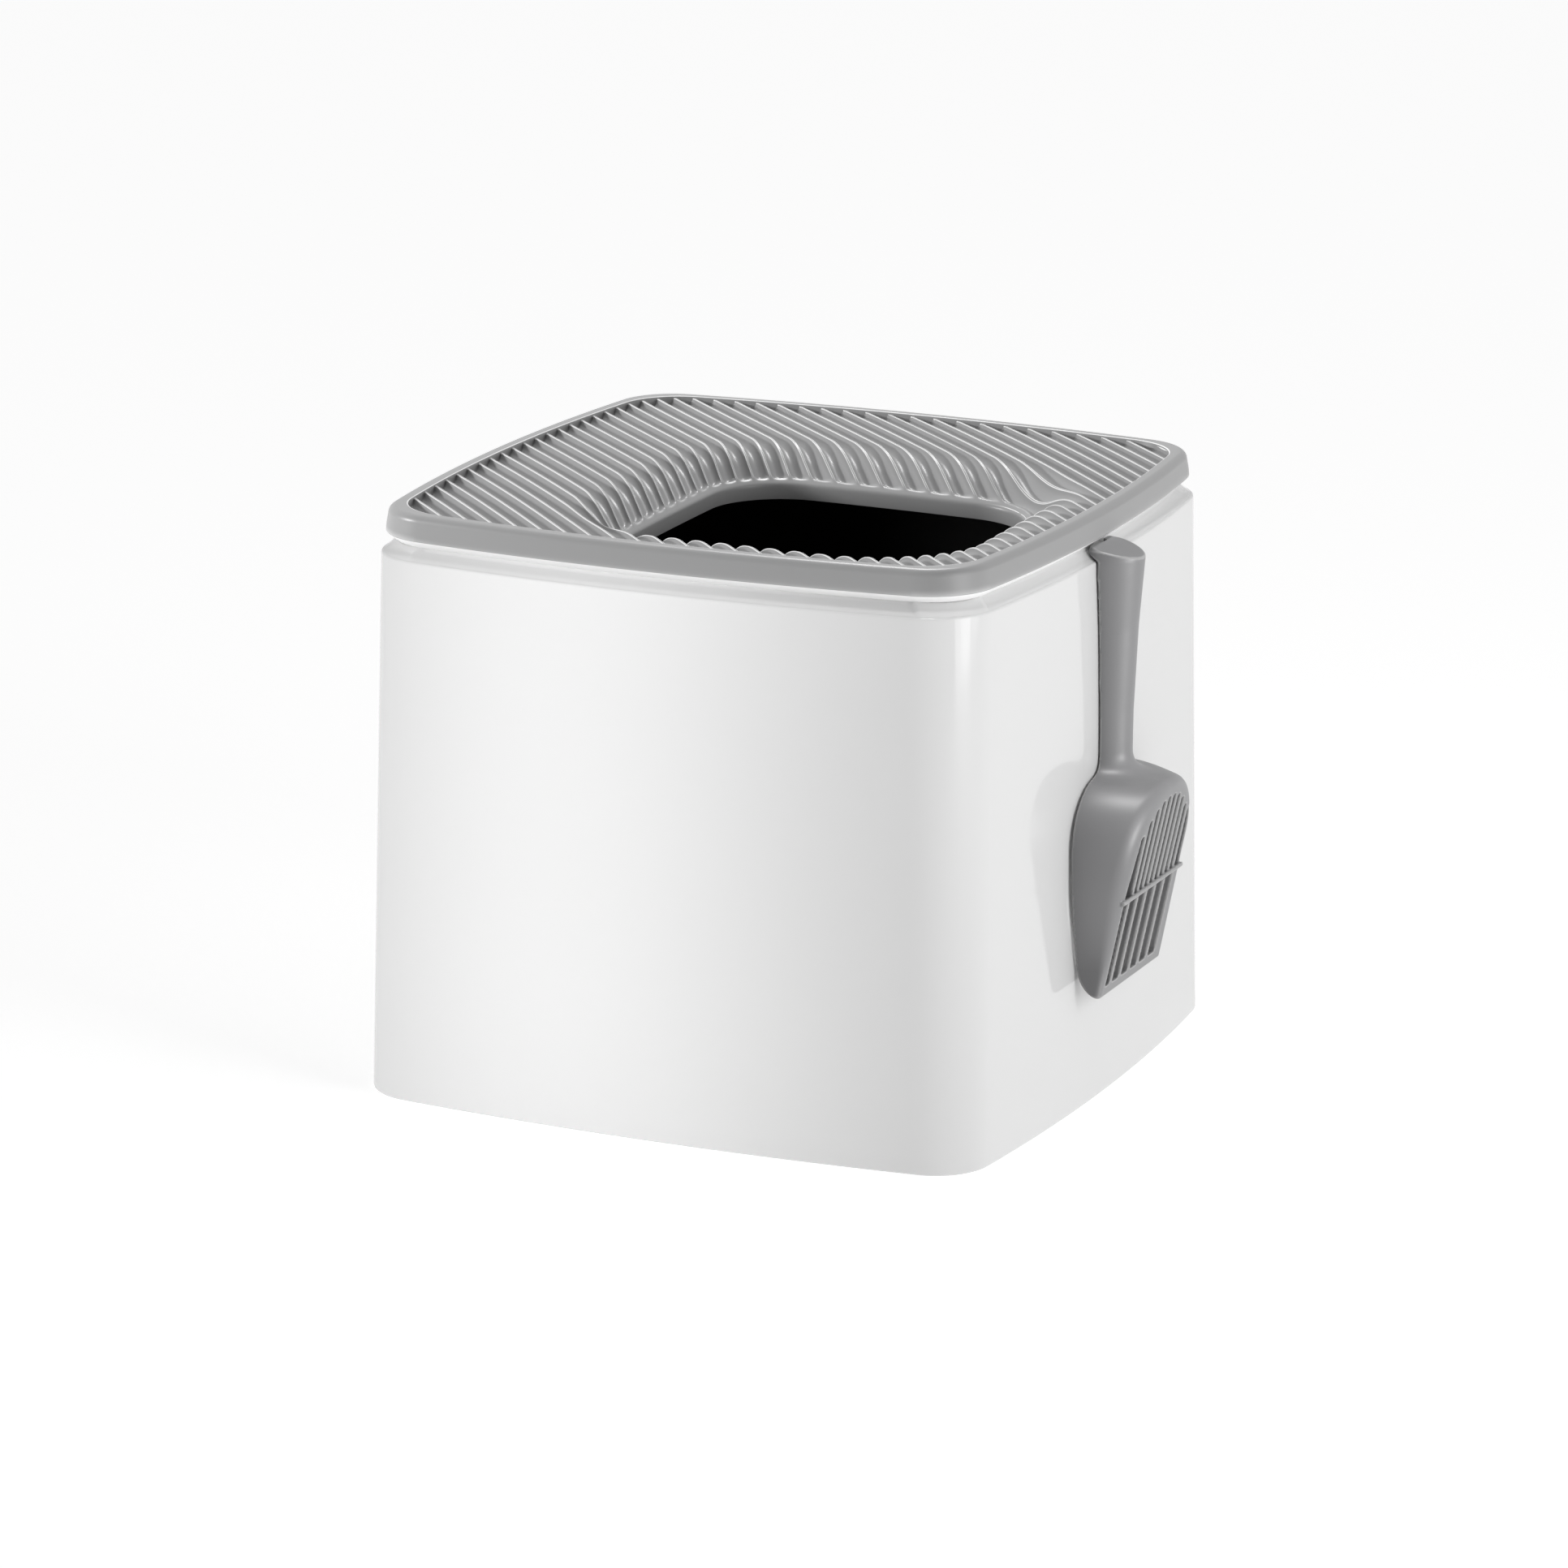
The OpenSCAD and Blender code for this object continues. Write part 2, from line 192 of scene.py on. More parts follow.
def plastic(name, colour, rough, grain, grain_scale, mottle=0.02, rough_mottle=0.04, edge=None):
    """Plastic with a faint mottle and a fine grain; edge is the grey of a painted highlight on its sharp
    outer edges.
    """
    mat = bpy.data.materials.new(name)
    mat.use_nodes = True
    nt = mat.node_tree
    bsdf = nt.nodes["Principled BSDF"]
    bsdf.inputs["IOR"].default_value = IOR
    coord = nt.nodes.new("ShaderNodeTexCoord")
    broad = nt.nodes.new("ShaderNodeTexNoise")
    broad.inputs["Scale"].default_value = MOTTLE_SCALE
    broad.inputs["Detail"].default_value = MOTTLE_DETAIL
    nt.links.new(coord.outputs["Object"], broad.inputs["Vector"])
    tint = nt.nodes.new("ShaderNodeMapRange")
    tint.inputs["To Min"].default_value = 1.0 - mottle
    tint.inputs["To Max"].default_value = 1.0 + mottle
    nt.links.new(broad.outputs["Fac"], tint.inputs["Value"])
    mix = nt.nodes.new("ShaderNodeVectorMath")
    mix.operation = "SCALE"
    mix.inputs[0].default_value = colour
    nt.links.new(tint.outputs["Result"], mix.inputs["Scale"])
    nt.links.new(mix.outputs["Vector"], bsdf.inputs["Base Color"])
    # painted highlight: where pointiness is high, on sharp outer edges and rib crests, the colour turns to
    # the lighter grey edge
    if edge:
        shape = nt.nodes.new("ShaderNodeNewGeometry")
        crest = nt.nodes.new("ShaderNodeMapRange")
        crest.interpolation_type = "SMOOTHSTEP"
        crest.inputs["From Min"].default_value = PAINTED_HIGHLIGHT_FROM
        crest.inputs["From Max"].default_value = PAINTED_HIGHLIGHT_TO
        nt.links.new(shape.outputs["Pointiness"], crest.inputs["Value"])
        painted_highlight_mix = nt.nodes.new("ShaderNodeMix")
        painted_highlight_mix.data_type = "RGBA"
        painted_highlight_mix.inputs["B"].default_value = (edge, edge, edge, 1)
        nt.links.new(crest.outputs["Result"], painted_highlight_mix.inputs["Factor"])
        nt.links.new(mix.outputs["Vector"], painted_highlight_mix.inputs["A"])
        nt.links.new(painted_highlight_mix.outputs["Result"], bsdf.inputs["Base Color"])
    fine = nt.nodes.new("ShaderNodeTexNoise")
    fine.inputs["Scale"].default_value = grain_scale
    fine.inputs["Detail"].default_value = GRAIN_DETAIL
    nt.links.new(coord.outputs["Object"], fine.inputs["Vector"])
    gloss = nt.nodes.new("ShaderNodeMapRange")
    gloss.inputs["To Min"].default_value = rough - rough_mottle
    gloss.inputs["To Max"].default_value = rough + rough_mottle
    nt.links.new(broad.outputs["Fac"], gloss.inputs["Value"])
    nt.links.new(gloss.outputs["Result"], bsdf.inputs["Roughness"])
    bump = nt.nodes.new("ShaderNodeBump")
    bump.inputs["Strength"].default_value = grain
    bump.inputs["Distance"].default_value = GRAIN_DEPTH
    nt.links.new(fine.outputs["Fac"], bump.inputs["Height"])
    nt.links.new(bump.outputs["Normal"], bsdf.inputs["Normal"])
    return mat


WHITE = plastic("gloss_white", (0.62, 0.62, 0.62), 0.085, 0.01, 260.0, mottle=0.006, rough_mottle=0.015)
# painted shade: the white tub's inside is coloured near black in place of the shade inside the closed tub
INSIDE_PAINTED_SHADE = plastic("shaded_inside", (0.02, 0.02, 0.02), 0.45, 0.05, 400.0)
# edge=0.95 paints a near-white highlight along the rib crests and the lid's sharp edges
GREY = plastic("satin_grey", (0.34, 0.34, 0.342), 0.36, 0.08, 900.0, mottle=0.012, edge=0.95)
# edge=0.23 paints a lighter highlight along the scoop's sharp edges and slot bars
DARK = plastic("satin_dark", (0.155, 0.155, 0.158), 0.42, 0.12, 900.0, mottle=0.015, edge=0.23)


# ------------------------------------------------------------------ tub

def tub_mesh():
    """The tub's outside with its shelf and neck, and its inside."""
    base, base_n = outline(BASE_OUT)
    rim, rim_n = outline(RIM_OUT)
    n = len(base)

    def wall(z, off):
        """Ring of the leaning wall at height z, moved outward by off."""
        t = z / RIM_Z
        p = base * (1 - t) + rim * t
        m = base_n * (1 - t) + rim_n * t
        m /= np.linalg.norm(m, axis=1)[:, None]
        return np.column_stack([p + m * off, np.full(n, z)])

    rings = [wall(0.0, -8.0), wall(0.0, -2.6)]
    for x, z in arc(-2.2, 2.2, 2.2, -80, 0, 6):
        rings.append(wall(z, x))
    for z in (6, 12, 24, 48, 80, 120, 160, 200, 240, 280, 310, 330, 342):
        rings.append(wall(z, 0.0))
    for x, z in arc(-1.5, RIM_Z - 1.5, 1.5, 0, 90, 6):
        rings.append(wall(z, x))
    # shoulder ring set: shelf along the sides, filled slope at the corners
    pts = rings[-1]
    side = np.minimum(np.abs(rim[:, 0]), np.abs(rim[:, 1])) < SHELF_END
    neck, _ = outline(NECK_OUT)

    def top(frac_side, z_side, frac_corner, z_corner):
        fs = np.where(side, frac_side, frac_corner)[:, None]
        z = np.where(side, z_side, z_corner)
        start = pts[:, :2]
        return np.column_stack([start * (1 - fs) + neck * fs, z])

    rings.append(top(0.06, RIM_Z + 0.05, 0.06, RIM_Z + 0.25))
    rings.append(top(0.5, RIM_Z + 2.6, 0.5, RIM_Z + 4.4))
    rings.append(top(0.86, RIM_Z + 4.8, 0.86, RIM_Z + 7.6))
    rings.append(top(0.93, RIM_Z + 5.4, 0.93, RIM_Z + 8.2))
    rings.append(top(1.0, RIM_Z + 7.4, 1.0, RIM_Z + 8.8))
    rings.append(np.column_stack([neck, np.full(n, RIM_Z + 10.0)]))
    rings.append(np.column_stack([neck, np.full(n, NECK_Z - 0.6)]))
    mid, _ = outline(NECK_OUT, -0.6)
    rings.append(np.column_stack([mid, np.full(n, NECK_Z)]))
    mid, _ = outline(NECK_OUT, -2.4)
    rings.append(np.column_stack([mid, np.full(n, NECK_Z)]))
    mid, _ = outline(NECK_OUT, -WALL_T)
    rings.append(np.column_stack([mid, np.full(n, NECK_Z - 0.6)]))
    outside = len(rings)
    rings.append(np.column_stack([mid, np.full(n, RIM_Z + 4.0)]))
    rings.append(wall(RIM_Z - 6.0, -WALL_T))
    for z in (300, 200, 100, 40, 22):
        rings.append(wall(z, -WALL_T))
    for x, z in arc(-15.0, 15.5, 12.0, 0, -90, 6):
        rings.append(wall(z, x))
    shell_verts, shell_faces = loft(rings[:outside])
    shell_faces.append(tuple(reversed(range(n))))
    inside_verts, inside_faces = loft(rings[outside - 1:], cap_last=True)
    return shell_verts, shell_faces, inside_verts, inside_faces


# ------------------------------------------------------------------ lid

def lid_rim_mesh():
    """Rim of the lid: underside, leaning face, rounded top and flat band, swept round."""
    prof = [(-14.0, LID_Z + 10.6), (-7.0, LID_Z + 10.6), (-7.0, LID_Z + 0.6), (-6.8, LID_Z + 0.1),
            (-6.4, LID_Z), (-0.45, LID_Z + 4.6)]
    prof += arc(-0.7, LID_Z + 5.6, 0.7, -45, 0, 4)
    prof += [(-0.5, LID_Z + 10), (-1.5, LID_Z + 15.5)]
    prof += arc(-6.85, LID_TOP - 5.3, 5.3, 4, 88, 14)
    outer, outer_n = outline(LID_OUT)
    inner, inner_n = outline(INNER_OUT)
    n = len(outer)
    rings = []
    for off, z in prof:
        rings.append(np.column_stack([outer + outer_n * off, np.full(n, z)]))
    band = outer + outer_n * -7.0
    for f, z in ((0.4, LID_TOP - 0.02), (0.85, LID_TOP - 0.05)):
        rings.append(np.column_stack([band * (1 - f) + inner * f, np.full(n, z)]))
    for off, z in ((0.35, LID_TOP - 0.08), (0.1, LID_TOP - 0.25), (0.0, LID_TOP - 0.6)):
        rings.append(np.column_stack([inner + inner_n * off, np.full(n, z)]))
    rings.append(np.column_stack([inner - inner_n * 0.3, np.full(n, LID_TOP - 9.0)]))
    rings.append(np.column_stack([inner - inner_n * 0.6, np.full(n, LID_TOP - 9.5)]))
    return loft(rings)


def columns(extra):
    """Positions across the ribs: close together on the crests and near each tangent line in extra."""
    half = [0.0, 0.3, 0.52, 0.64, 0.85, 1.25, 1.9, 2.7, 3.6, 4.7, RIB_PITCH / 2]
    us = []
    mid = (RIB_COUNT - 1) / 2
    for k in range(-1, RIB_COUNT + 1):
        c = (k - mid) * RIB_PITCH
        for h in half:
            us.append(c + h)
            if 0 < h < RIB_PITCH / 2:
                us.append(c - h)
    for tangent, way in extra:
        for step in (0.0, 0.02, 0.08, 0.2, 0.4, 0.7, 1.1, 1.6, 2.2, 3.0):
            us.append(tangent + way * step)
    us = np.unique(np.round(us, 4))
    keep = [us[0]]
    fixed = {round(t, 4) for t, _ in extra}
    for u in us[1:]:
        if u - keep[-1] > 0.015 or u in fixed:
            keep.append(u)
    return np.array(keep)


def crossings(dist, u, lo, hi):
    """First and last s at which the line at u is inside (dist < 0), or None."""
    s = np.linspace(lo, hi, 1601)
    x, y = (u + s) / math.sqrt(2), (u - s) / math.sqrt(2)
    v = dist(x, y)
    hit = np.where(v < 0)[0]
    if len(hit) == 0:
        return None

    def refine(a, b):
        fa = float(dist(np.float64((u + a) / math.sqrt(2)), np.float64((u - a) / math.sqrt(2))))
        for _ in range(40):
            m = (a + b) / 2
            fm = float(dist(np.float64((u + m) / math.sqrt(2)), np.float64((u - m) / math.sqrt(2))))
            if (fm < 0) == (fa < 0):
                a, fa = m, fm
            else:
                b = m
        return (a + b) / 2

    first = refine(s[hit[0] - 1], s[hit[0]]) if hit[0] > 0 else s[0]
    last = refine(s[hit[-1]], s[hit[-1] + 1]) if hit[-1] < len(s) - 1 else s[-1]
    return first, last


def flute_profile(u):
    """Depth share of the channel at u: 0 on a crest and 1 at mid channel, near a half circle."""
    mid = (RIB_COUNT - 1) / 2
    v = u / RIB_PITCH + mid
    w = np.abs(v - np.round(v)) * RIB_PITCH       # distance from the nearest crest
    half = RIB_PITCH / 2
    t = np.clip((w - CREST_HALF) / (half - CREST_HALF), 0, 1)
    bowl = 0.88 * np.sqrt(1 - (1 - t) ** 2) + 0.12 * t * t * (3 - 2 * t)
    edge = np.clip((w - 0.3) / 0.9, 0, 1)
    return bowl * (0.3 + 0.7 * edge * edge * (3 - 2 * edge))


def lid_top_mesh():
    """Ribbed top of the lid in columns that run along the ribs, and the vertices round its opening."""
    grow = 0.8             # the top runs this far under the flat band
    c_in = ENTRY_HALF - ENTRY_R
    eu = (ENTRY[0] + ENTRY[1]) / math.sqrt(2)
    ring_hi = eu + c_in * math.sqrt(2) + ENTRY_R
    ring_lo = eu - c_in * math.sqrt(2) - ENTRY_R
    _, _, r, c, _ = arc_centres(INNER_OUT)
    rim_hi = c * math.sqrt(2) + r + grow
    us = columns([(ring_hi, -1), (ring_hi, 1), (ring_lo, 1), (ring_lo, -1),
                  (rim_hi - 0.01, -1), (-rim_hi + 0.01, 1)])
    us = us[(us >= -rim_hi + 0.01 - 1e-6) & (us <= rim_hi - 0.01 + 1e-6)]
    na = 92                # steps along a rib, on each side of the entry

    def outer_dist(x, y):
        return outline_distance(INNER_OUT, x, y) - grow

    s_mid = (ENTRY[0] - ENTRY[1]) / math.sqrt(2)
    cols = []
    for u in us:
        o = crossings(outer_dist, u, -REACH, REACH)
        e = crossings(entry_distance, u, -REACH, REACH) if ring_lo < u < ring_hi else None
        if o is None:
            o = (0.0, 0.0)
        if e is None:
            m = min(max(s_mid, o[0]), o[1])
            e = (m, m)
        cols.append((o[0], e[0], e[1], o[1]))
    t = np.linspace(0, 1, na + 1)
    warp = np.clip(t + 0.055 * -np.sin(2 * np.pi * t), 0, 1)   # finer at both ends
    verts, index = [], []
    for u, (o0, e0, e1, o1) in zip(us, cols):
        sa = o0 + (e0 - o0) * warp
        sb = e1 + (o1 - e1) * warp
        if e1 - e0 < 1e-6:
            s = np.concatenate([sa, sb[1:]])
            ids = list(range(len(verts), len(verts) + len(s)))
            ia = ids[:na + 1]
            ib = ids[na:]
        else:
            s = np.concatenate([sa, sb])
            ids = list(range(len(verts), len(verts) + len(s)))
            ia = ids[:na + 1]
            ib = ids[na + 1:]
        x, y = (u + s) / math.sqrt(2), (u - s) / math.sqrt(2)
        d = entry_distance(x, y)
        rim = -outline_distance(INNER_OUT, x, y)
        near = np.clip((d - CHANNEL_END) / CHANNEL_FADE, 0, 1)
        fade = near * near * (3 - 2 * near)
        fillet = 0.7 * np.clip(1 - rim / 1.6, 0, 1) ** 2
        share = flute_profile(np.float64(u))
        z = crest_height(x, y) - RIB_DEPTH * share * fade + fillet * (share > 0.05)
        verts.extend(np.column_stack([x, y, z]).tolist())
        index.append((ia, ib))
    faces = []
    for (a0, b0), (a1, b1) in zip(index[:-1], index[1:]):
        for left, right in ((a0, a1), (b0, b1)):
            for i in range(na):
                faces.append((left[i], left[i + 1], right[i + 1], right[i]))
    # ring of the opening, in order round it
    start = next(i for i, u in enumerate(us) if u >= ring_lo - 1e-6)
    end = max(i for i, u in enumerate(us) if u <= ring_hi + 1e-6)
    first = [index[i][0][-1] for i in range(start, end + 1)]
    second = [index[i][1][0] for i in range(end, start - 1, -1)]
    loop = first + [v for v in second if v not in (first[0], first[-1])]
    return np.array(verts), faces, loop


def entry_normal(x, y):
    """Unit vectors pointing away from the entry."""
    cx = np.clip(x - ENTRY[0], -(ENTRY_HALF - ENTRY_R), ENTRY_HALF - ENTRY_R) + ENTRY[0]
    cy = np.clip(y - ENTRY[1], -(ENTRY_HALF - ENTRY_R), ENTRY_HALF - ENTRY_R) + ENTRY[1]
    n = np.column_stack([x - cx, y - cy])
    length = np.linalg.norm(n, axis=1)[:, None]
    return n / np.maximum(length, 1e-9)


def lid_mesh():
    """Ribbed top with the lip, collar and underside of its entry."""
    verts, faces, loop = lid_top_mesh()
    ring = verts[loop]
    nrm = entry_normal(ring[:, 0], ring[:, 1])
    rings_ids = [loop]
    all_verts = [verts]
    count = len(verts)
    prof = [(-0.45, -0.45), (-0.95, -1.1), (-1.2, -1.9), (-1.3, -3.0), (-1.5, -COLLAR_H + 0.6),
            (-1.2, -COLLAR_H), (0.9, -COLLAR_H), (1.1, -COLLAR_H + 0.6), (1.2, -6.0)]
    for off, dz in prof:
        p = np.column_stack([ring[:, :2] + nrm * off, ring[:, 2] + dz])
        all_verts.append(p)
        rings_ids.append(list(range(count, count + len(p))))
        count += len(p)
    # underside of the funnel and of the top, so that the lid is closed when it is lifted
    for d in (4.0, 9.0, 15.0, 21.0, 28.0, 36.0, 44.0):
        px, py = ring[:, 0] + nrm[:, 0] * d, ring[:, 1] + nrm[:, 1] * d
        z = crest_height(px, py) - RIB_DEPTH - SKIN
        all_verts.append(np.column_stack([px, py, z]))
        rings_ids.append(list(range(count, count + len(px))))
        count += len(px)
    n = len(loop)
    for a, b in zip(rings_ids[:-1], rings_ids[1:]):
        for i in range(n):
            j = (i + 1) % n
            faces.append((a[i], a[j], b[j], b[i]))
    return np.concatenate(all_verts), faces


shell_verts, shell_faces, inside_verts, inside_faces = tub_mesh()
make("tub_shell", shell_verts, shell_faces, WHITE, "tub", ["tub"], 40.0)
# the tub's inside gets the near-black painted shade
make("tub_inside", inside_verts, inside_faces, INSIDE_PAINTED_SHADE, "tub", [], 40.0)
verts, faces = lid_mesh()
make("lid_top", verts, faces, GREY, "lid", ["lid"], 55.0)
verts, faces = lid_rim_mesh()
make("lid_rim", verts, faces, GREY, "lid", [], 40.0)

# ------------------------------------------------------------------ scoop

SCOOP_Y = -5.0         # middle of the scoop along the wall; its shape is drawn about y = 0
SCOOP_CELL = 0.9       # cell of the grid that its surface is drawn on
TIP_Z = 77.0           # lowest edge
PANEL_X = 234.2        # outer face of the slotted panel at the tip
PANEL_SLOPE = 0.214    # how far the panel comes out for each step up
CROSS_Z = 139.8        # height of the raised cross bar
CROSS_R, CROSS_HALF = 1.7, 50.5
BOWL_HALF, BOWL_TOP, BOWL_R = 61.6, 212.0, 40.0      # arch of the bowl at the wall
PANEL_HALF, PANEL_TOP, PANEL_R = 53.0, 208.0, 49.0   # arch of the panel
TIP_NARROW = 9.4       # how much each side comes in towards the tip
BOWL_T, PANEL_T, HANDLE_T = 2.5, 4.8, 3.2            # thicknesses
HOLLOW_TOP, HANDLE_HOLLOW_TOP = 209.0, 340.0
HANDLE_TOP = 357.6
HANDLE_BACK = 13.5     # how far the handle's curve goes past the wall side
HOLE_X, HOLE_Y = 209.8, 2.5

# slots: number of bars, their pitch and middle, the last slot's end, then the row's foot and top
BAR_W = 3.4
SLOT_START, SLOT_R = -46.5, 2.4
SLOT_ARCH_Z, SLOT_ARCH_R, SLOT_ARCH_Y = 152.8, 46.0, 36.5   # arch that the upper slots end on
SLOT_ROWS = (
    (9, 8.74, 2.4, 46.5, CROSS_Z + 1.0, 300.0),
    (5, 15.35, -5.6, 39.5, TIP_Z + 7.0, CROSS_Z - 1.0),
)
LEAN, LEAN_Z = 0.17, 142.0   # above this height the first slot leans in with the bowl's side

# handle: its front and its half width at several heights
FRONT_Z = (200, 226, 250, 305, 348, 360)
FRONT_X = (233.4, 232.6, 232.8, 235.2, 238.6, 239.2)
HALF_Z = (200, 240, 259, 302, 340, 348, 354, 358)
HALF_W = (16.2, 15.9, 16.2, 17.8, 21.2, 21.6, 20.2, 16.5)


def smooth_max(a, b, k):
    h = np.clip(0.5 + 0.5 * (a - b) / k, 0, 1)
    return b + (a - b) * h + k * h * (1 - h)


def smooth_min(a, b, k):
    return -smooth_max(-a, -b, k)


def scoop_wall_x(z):
    """Plane of the scoop's open side, parallel to the tub's leaning wall."""
    return 219.7 - 0.0101 * z


def arch_field(y, z, half, top, r):
    """Distance outside an arch: straight sides at half, corners of radius r below top."""
    py = np.abs(y) - (half - r)
    pz = z - (top - r)
    return np.hypot(np.maximum(py, 0), np.maximum(pz, 0)) + np.minimum(np.maximum(py, pz), 0) - r


def panel_gap(x, z):
    """Distance outside the slotted panel's outer face."""
    return (x - PANEL_X - PANEL_SLOPE * (z - TIP_Z)) / math.hypot(1, PANEL_SLOPE)


def bowl_field(x, y, z, t, panel_t):
    """Distance outside the bowl's block, its walls moved in by t and its panel by panel_t."""
    q = x - scoop_wall_x(z)
    depth = PANEL_X + PANEL_SLOPE * (z - TIP_Z) - scoop_wall_x(z)
    s = np.clip(q / depth, 0, 1) ** 1.6
    half = BOWL_HALF - TIP_NARROW * np.clip((150 - z) / 55, 0, 1) ** 1.6
    at_wall = arch_field(y, z, half, BOWL_TOP, BOWL_R)
    at_panel = arch_field(y, z, PANEL_HALF, PANEL_TOP, PANEL_R)
    side = at_wall * (1 - s) + at_panel * s
    soft = np.interp(z, [85, 150], [4.0, 9.0]) - min(t, 3.0)
    return smooth_max(side + t, panel_gap(x, z) + panel_t, soft)


def slot_field(y, z):
    """Distance outside the panel's slots, measured in the panel's plane."""
    best = np.full(y.shape, 1e3)
    for bars, pitch, middle, right, low, high in SLOT_ROWS:
        at = [middle + pitch * (i - (bars - 1) / 2) for i in range(bars)]
        starts = [SLOT_START] + [b + BAR_W / 2 for b in at]
        ends = [b - BAR_W / 2 for b in at] + [right]
        for y0, y1 in zip(starts, ends):
            yc, half = (y0 + y1) / 2, (y1 - y0) / 2
            top = min(high, SLOT_ARCH_Z + math.sqrt(SLOT_ARCH_R ** 2 - min(abs(yc), SLOT_ARCH_Y) ** 2))
            e = min(half, SLOT_R)
            dy = np.abs(y - yc) - (half - e)
            dz = np.abs(z - (low + top) / 2) - ((top - low) / 2 - e)
            d = np.hypot(np.maximum(dy, 0), np.maximum(dz, 0)) + np.minimum(np.maximum(dy, dz), 0) - e
            if y0 == SLOT_START:
                d = smooth_max(d, y0 + LEAN * np.maximum(z - LEAN_Z, 0) - y, 2.0)
            best = np.minimum(best, d)
    return best


def handle_field(x, y, z, t):
    """Distance outside the handle, its walls moved in by t."""
    q = x - scoop_wall_x(z)
    a = np.interp(z, FRONT_Z, FRONT_X) - scoop_wall_x(z) - t
    b = np.interp(z, HALF_Z, HALF_W) - t
    out = np.where(q > 0, np.maximum(q, 0) / a, np.maximum(-q, 0) / (HANDLE_BACK - t))
    power = np.where(q > 0, 1.5, 2.0)
    n = (np.abs(y) / b) ** 2.0 + out ** power
    body = (np.sqrt(n) - 1) * np.minimum(a, b)
    top = (z + 0.245 * (x - 206.5) - HANDLE_TOP + t) * 0.971
    return smooth_max(body, top, 1.2)


def scoop_field(x, y, z):
    """Distance outside the scoop."""
    q = x - scoop_wall_x(z)
    gap = panel_gap(x, z)
    bowl = bowl_field(x, y, z, 0.0, 0.0)
    handle = handle_field(x, y, z, 0.0)
    shelf = (353.4 - 0.5 * (x - 206.5) - z) * 0.894
    seat = np.where(z > 346, np.minimum(-q, np.maximum(shelf, 208.8 - x)), -q)
    handle = np.maximum(handle, 214.0 - z - 30)
    solid = smooth_min(bowl, handle, 13.0)
    solid = np.maximum(solid, seat)
    inner_bowl = np.maximum(bowl_field(x, y, z, BOWL_T, PANEL_T), z - HOLLOW_TOP)
    inner_handle = np.maximum(handle_field(x, y, z, HANDLE_T), z - HANDLE_HOLLOW_TOP)
    inner = smooth_min(inner_bowl, inner_handle, 6.0)
    solid = smooth_max(solid, -inner, 0.8)
    slots = np.maximum(slot_field(y, z), np.abs(gap + 1.5) - 5.5)
    solid = smooth_max(solid, -slots, 0.9)
    bar = np.maximum(np.hypot(gap - 0.2, z - CROSS_Z) - CROSS_R, np.abs(y) - CROSS_HALF)
    solid = smooth_min(solid, bar, 0.8)
    u = np.clip((15.0 - q) / 15.0, 0, 1)
    foot = TIP_Z + 20.0 * (1 - np.sqrt(1 - u * u * 0.999))
    solid = smooth_max(solid, (foot - z) * 0.8, 0.8)
    hole = np.maximum(np.maximum(np.abs(x - HOLE_X) - 1.3, np.abs(y - HOLE_Y) - 4.5), 350 - z)
    return np.maximum(solid, -hole)


def surface_net(field, lo, hi, cell):
    """Quads on the zero surface of field inside the box."""
    axes = [np.arange(a, b + cell, cell) for a, b in zip(lo, hi)]
    grid = np.meshgrid(*axes, indexing="ij")
    v = field(*grid)
    inside = v < 0
    nx, ny, nz = v.shape
    count = np.zeros((nx - 1, ny - 1, nz - 1), np.int8)
    total = np.zeros((nx - 1, ny - 1, nz - 1, 3), np.float32)
    corner = [(i, j, k) for i in (0, 1) for j in (0, 1) for k in (0, 1)]
    for c0 in corner:
        for ax in range(3):
            if c0[ax]:
                continue
            c1 = list(c0)
            c1[ax] = 1
            a = v[c0[0]:nx - 1 + c0[0], c0[1]:ny - 1 + c0[1], c0[2]:nz - 1 + c0[2]]
            b = v[c1[0]:nx - 1 + c1[0], c1[1]:ny - 1 + c1[1], c1[2]:nz - 1 + c1[2]]
            cross = (a < 0) != (b < 0)
            t = np.where(cross, a / np.where(cross, a - b, 1), 0)
            count += cross
            for d in range(3):
                total[..., d] += np.where(cross, t if d == ax else c0[d], 0)
    active = count > 0
    index = np.full(active.shape, -1, np.int64)
    index[active] = np.arange(active.sum())
    cells = np.argwhere(active)
    pts = np.array(lo) + cell * (cells + total[active] / count[active][:, None])
    faces = []
    for ax in range(3):
        sl0, sl1 = [slice(None)] * 3, [slice(None)] * 3
        sl0[ax], sl1[ax] = slice(0, -1), slice(1, None)
        change = inside[tuple(sl0)] != inside[tuple(sl1)]
        where = np.argwhere(change)
        o1, o2 = [(1, 2), (2, 0), (0, 1)][ax]
        ok = (where[:, o1] > 0) & (where[:, o2] > 0)
        ok &= (where[:, o1] < v.shape[o1] - 1) & (where[:, o2] < v.shape[o2] - 1)
        where = where[ok]
        outward = inside[tuple(sl0)][tuple(where.T)]
        quad = []
        for da, db in ((0, 0), (-1, 0), (-1, -1), (0, -1)):
            w = where.copy()
            w[:, o1] += da
            w[:, o2] += db
            quad.append(index[tuple(w.T)])
        quad = np.stack(quad, 1)
        quad[~outward] = quad[~outward][:, ::-1]
        faces.append(quad)
    faces = np.concatenate(faces)
    for _ in range(2):
        e = 0.05
        f0 = field(*pts.T)
        g = np.stack([(field(*(pts + np.eye(3)[i] * e).T) - field(*(pts - np.eye(3)[i] * e).T)) / (2 * e)
                      for i in range(3)], 1)
        step = g * (f0 / np.maximum((g * g).sum(1), 0.25))[:, None]
        pts = pts - np.clip(step, -cell * 0.35, cell * 0.35)
    return pts, faces


def scoop_mesh():
    pts, faces = surface_net(scoop_field, (204.6, -65.0, 74.5), (265.0, 65.0, 361.0), SCOOP_CELL)
    pts[:, 1] += SCOOP_Y
    return pts, faces.tolist()


